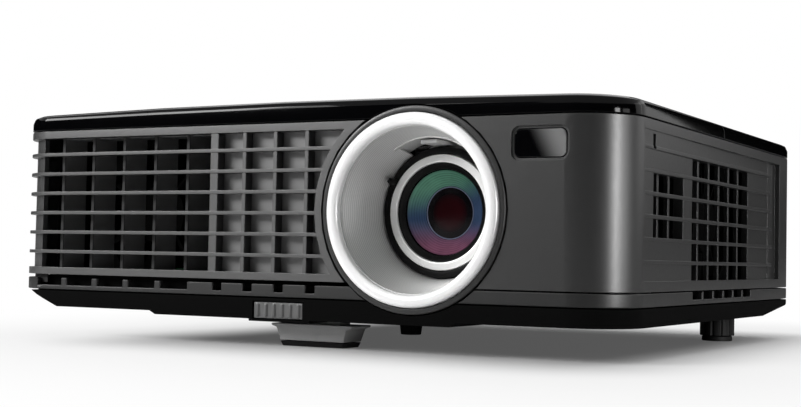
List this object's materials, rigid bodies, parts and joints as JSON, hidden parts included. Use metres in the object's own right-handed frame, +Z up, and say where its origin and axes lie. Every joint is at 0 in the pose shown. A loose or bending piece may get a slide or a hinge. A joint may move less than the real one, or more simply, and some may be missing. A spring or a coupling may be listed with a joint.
{
  "type": "portable projector",
  "caption": "Portable data projector: ribbed front grille with louvres, recessed zoom lens in a chrome ring, crowned gloss cover, keypad, rear sockets, elevator foot and screw foot.",
  "frame": {"origin": "centre of the footprint on the surface that the feet stand on", "axes": "+X to the right as seen from the front, -Y the way the lens looks, +Z up"},
  "size_m": [0.286, 0.243, 0.097],
  "materials": {
    "grey_plastic": "satin charcoal grey, fine texture",
    "black_gloss": "piano black",
    "black_plastic": "fine spark texture",
    "dark_plastic": "dull black",
    "smoked_window": "polished infrared-pass plastic",
    "chrome": "bright plated",
    "satin_silver": "satin",
    "lens_glass": "coated",
    "cast_metal": "as cast",
    "rubber": "matt",
    "board_green": "solder mask",
    "socket_steel": "nickel plated",
    "socket_blue": "moulded",
    "socket_green": "moulded",
    "socket_yellow": "moulded",
    "mirror_coat": "dichroic coated",
    "light_bar": "clear"
  },
  "bodies": {
    "case": {"top_cover": "black_gloss", "front_grille": "grey_plastic", "exhaust_louvres": "dark_plastic", "right_panel": "grey_plastic", "ir_window": "smoked_window", "left_panel": "grey_plastic", "base_band": "grey_plastic", "bottom_tray": "black_plastic", "rear_left_foot": "rubber", "lens_bezel": "grey_plastic", "chrome_ring": "chrome", "lens_cone": "satin_silver", "lens_barrel": "black_plastic", "keypad_plate": "black_plastic", "status_lights": "light_bar", "rear_panel": "black_plastic", "usb_socket": "socket_steel", "hdmi_socket": "socket_steel", "vga_socket": "socket_blue", "s_video_socket": "dark_plastic", "composite_socket": "socket_yellow", "audio_in_socket": "socket_blue", "audio_out_socket": "socket_green", "power_inlet": "dark_plastic", "light_engine": "cast_metal", "imaging_heat_sink": "cast_metal", "colour_wheel_motor": "cast_metal", "lamp_housing": "dark_plastic", "lamp_reflector": "mirror_coat", "exhaust_fan_frame": "dark_plastic", "intake_fan_frame": "dark_plastic", "main_board": "board_green", "power_board": "board_green"},
    "lamp_lid": {"lamp_cover": "black_gloss", "lamp_cover_screw": "socket_steel"},
    "focus_ring": {"focus_ring": "black_plastic"},
    "focus_cell": {"lens_trim_ring": "satin_silver", "front_lens": "lens_glass"},
    "zoom_ring": {"zoom_ring": "black_plastic"},
    "zoom_cell": {"zoom_lens_cell": "lens_glass"},
    "elevator": {"elevator_foot": "black_plastic", "elevator_pad": "rubber"},
    "elevator_button": {"elevator_button": "black_plastic"},
    "tilt_foot": {"tilt_foot": "rubber"},
    "tilt_wheel": {"tilt_wheel": "black_plastic"},
    "key_power": {"key_power": "satin_silver"},
    "key_enter": {"key_enter": "satin_silver"},
    "key_up": {"key_up": "satin_silver"},
    "key_down": {"key_down": "satin_silver"},
    "key_left": {"key_left": "satin_silver"},
    "key_right": {"key_right": "satin_silver"},
    "key_menu": {"key_menu": "satin_silver"},
    "key_source": {"key_source": "satin_silver"},
    "colour_wheel": {"colour_wheel": "mirror_coat"},
    "exhaust_rotor": {"exhaust_fan_rotor": "black_plastic"},
    "intake_rotor": {"intake_fan_rotor": "black_plastic"}
  },
  "joints": [
    {"name": "lamp_lid_lift", "type": "slide", "parent": "case", "child": "lamp_lid", "axis": [0, 0, 1], "range_m": [0, 0.015]},
    {"name": "focus_turn", "type": "hinge", "parent": "case", "child": "focus_ring", "pos_m": [0.0596, -0.0935, 0.0541], "axis": [0, 1, 0], "range_deg": [-60, 60]},
    {"name": "focus_cell_slide", "type": "slide", "parent": "case", "child": "focus_cell", "axis": [0, 1, 0], "range_m": [-0.0015, 0.0015]},
    {"name": "zoom_turn", "type": "hinge", "parent": "case", "child": "zoom_ring", "pos_m": [0.0596, -0.0845, 0.0541], "axis": [0, 1, 0], "range_deg": [-20, 20]},
    {"name": "zoom_cell_slide", "type": "slide", "parent": "case", "child": "zoom_cell", "axis": [0, 1, 0], "range_m": [-0.0025, 0.0025]},
    {"name": "elevator_slide", "type": "slide", "parent": "case", "child": "elevator", "axis": [0, 0, -1], "range_m": [0, 0.038]},
    {"name": "elevator_button_press", "type": "slide", "parent": "case", "child": "elevator_button", "axis": [0, 1, 0], "range_m": [0, 0.003], "stiffness_N_per_m": 500},
    {"name": "tilt_foot_slide", "type": "slide", "parent": "case", "child": "tilt_foot", "axis": [0, 0, -1], "range_m": [0, 0.006]},
    {"name": "tilt_wheel_turn", "type": "hinge", "parent": "tilt_foot", "child": "tilt_wheel", "pos_m": [0.1195, 0.0715, 0.006], "axis": [0, 0, 1], "range_deg": [0, 1440]},
    {"name": "key_power_press", "type": "slide", "parent": "case", "child": "key_power", "axis": [0, 0, -1], "range_m": [0, 0.0008], "stiffness_N_per_m": 600},
    {"name": "key_enter_press", "type": "slide", "parent": "case", "child": "key_enter", "axis": [0, 0, -1], "range_m": [0, 0.0008], "stiffness_N_per_m": 600},
    {"name": "key_up_press", "type": "slide", "parent": "case", "child": "key_up", "axis": [0, 0, -1], "range_m": [0, 0.0008], "stiffness_N_per_m": 600},
    {"name": "key_down_press", "type": "slide", "parent": "case", "child": "key_down", "axis": [0, 0, -1], "range_m": [0, 0.0008], "stiffness_N_per_m": 600},
    {"name": "key_left_press", "type": "slide", "parent": "case", "child": "key_left", "axis": [0, 0, -1], "range_m": [0, 0.0008], "stiffness_N_per_m": 600},
    {"name": "key_right_press", "type": "slide", "parent": "case", "child": "key_right", "axis": [0, 0, -1], "range_m": [0, 0.0008], "stiffness_N_per_m": 600},
    {"name": "key_menu_press", "type": "slide", "parent": "case", "child": "key_menu", "axis": [0, 0, -1], "range_m": [0, 0.0008], "stiffness_N_per_m": 600},
    {"name": "key_source_press", "type": "slide", "parent": "case", "child": "key_source", "axis": [0, 0, -1], "range_m": [0, 0.0008], "stiffness_N_per_m": 600},
    {"name": "colour_wheel_spin", "type": "hinge", "parent": "case", "child": "colour_wheel", "pos_m": [0.084, -0.005, 0.066], "axis": [0, 1, 0], "continuous": true},
    {"name": "exhaust_rotor_spin", "type": "hinge", "parent": "case", "child": "exhaust_rotor", "pos_m": [-0.078, -0.089, 0.053], "axis": [0, 1, 0], "continuous": true},
    {"name": "intake_rotor_spin", "type": "hinge", "parent": "case", "child": "intake_rotor", "pos_m": [0.128, 0.0025, 0.053], "axis": [1, 0, 0], "continuous": true}
  ],
  "couplings": [
    {"joint": "focus_turn", "follows": "focus_cell_slide", "rad_per_m": 698},
    {"joint": "zoom_cell_slide", "follows": "zoom_turn", "m_per_rad": 0.0071},
    {"joint": "tilt_wheel_turn", "follows": "tilt_foot_slide", "rad_per_m": 4188}
  ]
}
